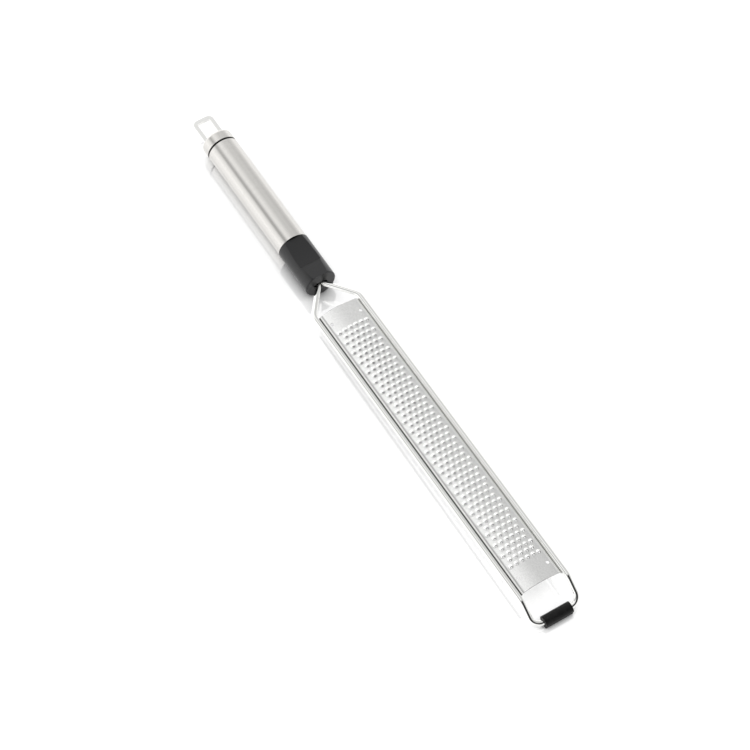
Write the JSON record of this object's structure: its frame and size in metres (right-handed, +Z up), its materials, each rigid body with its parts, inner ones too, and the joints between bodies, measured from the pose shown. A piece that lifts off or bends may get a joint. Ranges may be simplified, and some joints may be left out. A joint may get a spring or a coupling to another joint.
{
  "type": "rasp zester",
  "caption": "Hand zester with a round steel tube handle, a hanging loop, a black ferrule and a bent wire frame that holds an arched, toothed steel blade, with a rubber foot at the tip.",
  "frame": {"origin": "on the ground under the middle of the whole tool, lying at rest on its end cap and its foot", "axes": "+X from the hanging loop to the tip, +Y across the tool, +Z up"},
  "size_m": [0.4, 0.034, 0.0202],
  "materials": {
    "brushed_steel": "fine brushing round the tube",
    "polished_steel": "polished",
    "blade_steel": "satin",
    "black_plastic": "fine matt texture",
    "black_rubber": "matt"
  },
  "bodies": {
    "root": {"hanging_loop": "polished_steel", "end_cap": "brushed_steel", "cap_ring": "black_rubber", "end_plug": "black_plastic", "handle_tube": "brushed_steel", "ferrule": "black_plastic", "wire_frame": "polished_steel", "grating_blade": "blade_steel", "foot_sleeve": "black_rubber"}
  },
  "joints": []
}
